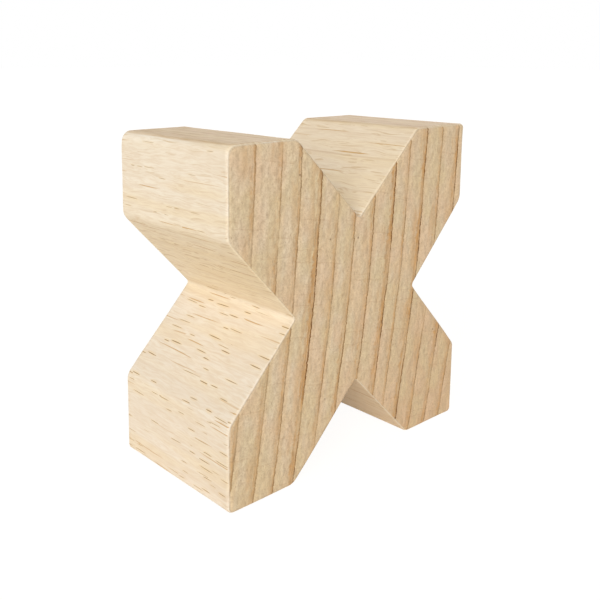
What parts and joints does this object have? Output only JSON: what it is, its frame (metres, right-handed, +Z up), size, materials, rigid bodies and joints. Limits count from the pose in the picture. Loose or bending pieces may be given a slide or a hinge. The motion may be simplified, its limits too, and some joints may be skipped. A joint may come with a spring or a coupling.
{
  "type": "wooden letter block",
  "caption": "Solid beech alphabet block cut to the outline of the letter X, with V notches on all sides, flat feet and tips, and softly sanded edges.",
  "frame": {"origin": "on the table, under the middle of the block", "axes": "+X to the right across the letter seen from the front, +Y from the front face to the back face along the grain, +Z up"},
  "size_m": [0.0498, 0.025, 0.05],
  "materials": {
    "beech": "bare sanded beech, matte, with growth rings on the front and back end grain and short ray flecks along the sides"
  },
  "bodies": {
    "root": {"letter_block": "beech"}
  },
  "joints": []
}
